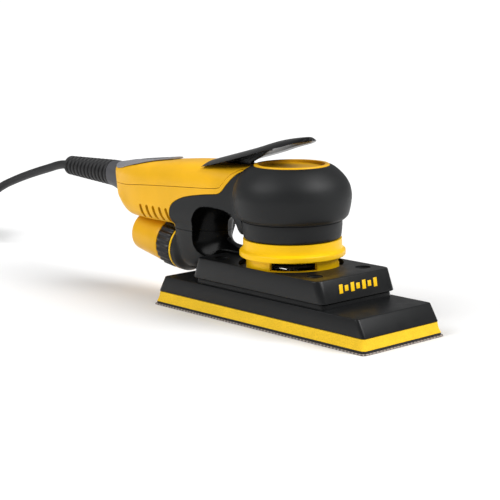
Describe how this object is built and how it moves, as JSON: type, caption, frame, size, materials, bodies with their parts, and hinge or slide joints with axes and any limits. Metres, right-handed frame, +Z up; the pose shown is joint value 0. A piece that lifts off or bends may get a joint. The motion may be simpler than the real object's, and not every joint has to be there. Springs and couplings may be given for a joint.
{
  "type": "orbital finishing sander",
  "caption": "Mains orbital finishing sander: long rectangular pad with foam, round palm-grip head, paddle lever, finger opening, rear dust outlet and coiled lead with plug.",
  "frame": {"origin": "centre of the sanding face, on the surface that the tool stands on", "axes": "+X towards the front end of the pad, +Y to the tool's left, +Z up from the sanding face"},
  "size_m": [0.595, 0.1089, 0.12],
  "materials": {
    "abrasive_net": "coarse open net with grit",
    "hook_fabric": "short nylon hooks",
    "foam_yellow": "closed-cell foam",
    "plate_black": "semi-gloss moulded",
    "block_black": "satin moulded",
    "grip_black": "soft-touch overmould",
    "duct_black": "satin moulded",
    "shell_yellow": "satin moulded",
    "ring_yellow": "satin moulded",
    "lever_black": "semi-gloss moulded",
    "collar_black": "satin moulded",
    "panel_grey": "fine texture",
    "button_dark": "soft touch",
    "light_green": "clear lens",
    "entry_grey": "fine texture",
    "sleeve_black": "moulded",
    "cord_black": "smooth jacket",
    "steel": "turned",
    "cast_alloy": "die cast",
    "winding_copper": "enamelled wire",
    "magnet_dark": "sintered",
    "board_green": "solder mask",
    "fan_grey": "moulded"
  },
  "bodies": {
    "root": {"lower_bearing": "steel", "upper_bearing": "steel", "stator_core": "steel", "lower_winding": "winding_copper", "upper_winding": "winding_copper", "motor_housing": "cast_alloy", "end_shield": "cast_alloy", "base_ring": "ring_yellow", "base_plate": "cast_alloy", "head_grip": "grip_black", "dust_duct": "duct_black", "body_lower_shell": "shell_yellow", "body_top_cover": "shell_yellow", "keypad_panel": "panel_grey", "status_light": "light_green", "outlet_flange": "ring_yellow", "lever_pin": "steel", "lever_spring": "steel", "control_board": "board_green", "capacitor": "button_dark", "lever_switch": "duct_black", "cable_collar": "entry_grey", "bend_protector": "sleeve_black", "cord_lead": "cord_black", "cord_coil": "cord_black", "cord_tail": "cord_black", "plug_body": "cord_black", "plug_pin_1": "steel", "plug_pin_2": "steel", "flex_leg_1": "sleeve_black", "leg_screw_1": "steel", "flex_leg_2": "sleeve_black", "leg_screw_2": "steel", "flex_leg_3": "sleeve_black", "leg_screw_3": "steel", "flex_leg_4": "sleeve_black", "leg_screw_4": "steel"},
    "rotor": {"motor_shaft": "steel", "counterweight": "steel", "dust_fan": "fan_grey", "rotor_core": "steel", "magnet_ring": "magnet_dark"},
    "pad": {"abrasive_sheet": "abrasive_net", "hook_layer": "hook_fabric", "foam_cushion": "foam_yellow", "pad_plate": "plate_black", "pad_block": "block_black", "eccentric_bearing": "steel", "bearing_clip": "steel"},
    "lever": {"lever": "lever_black"},
    "power_button": {"power_button": "button_dark"},
    "minus_button": {"minus_button": "button_dark"},
    "plus_button": {"plus_button": "button_dark"},
    "collar": {"knurled_collar": "collar_black"},
    "spout": {"outlet_spout": "shell_yellow"}
  },
  "joints": [
    {"name": "spindle_spin", "type": "hinge", "parent": "root", "child": "rotor", "pos_m": [0.0015, 0, 0.06], "axis": [0, 0, 1], "continuous": true},
    {"name": "pad_orbit", "type": "hinge", "parent": "rotor", "child": "pad", "pos_m": [0, 0, 0.017], "axis": [0, 0, 1], "continuous": true},
    {"name": "lever_press", "type": "hinge", "parent": "root", "child": "lever", "pos_m": [-0.057, 0, 0.0945], "axis": [0, 1, 0], "range_deg": [0, 6], "stiffness_Nm_per_rad": 0.5, "springref_deg": -5.73},
    {"name": "power_press", "type": "slide", "parent": "root", "child": "power_button", "axis": [0, 0, -1], "range_m": [0, 0.0004], "stiffness_N_per_m": 400, "springref_m": -0.0002},
    {"name": "minus_press", "type": "slide", "parent": "root", "child": "minus_button", "axis": [0, 0, -1], "range_m": [0, 0.0004], "stiffness_N_per_m": 400, "springref_m": -0.0002},
    {"name": "plus_press", "type": "slide", "parent": "root", "child": "plus_button", "axis": [0, 0, -1], "range_m": [0, 0.0004], "stiffness_N_per_m": 400, "springref_m": -0.0002},
    {"name": "collar_turn", "type": "hinge", "parent": "root", "child": "collar", "pos_m": [-0.1045, 0, 0.0352], "axis": [-0.9925, 0, 0.1219], "range_deg": [0, 40]},
    {"name": "spout_swivel", "type": "hinge", "parent": "root", "child": "spout", "pos_m": [-0.1045, 0, 0.0352], "axis": [-0.9925, 0, 0.1219], "continuous": true}
  ],
  "couplings": [
    {"joint": "pad_orbit", "follows": "spindle_spin", "ratio": -1}
  ]
}
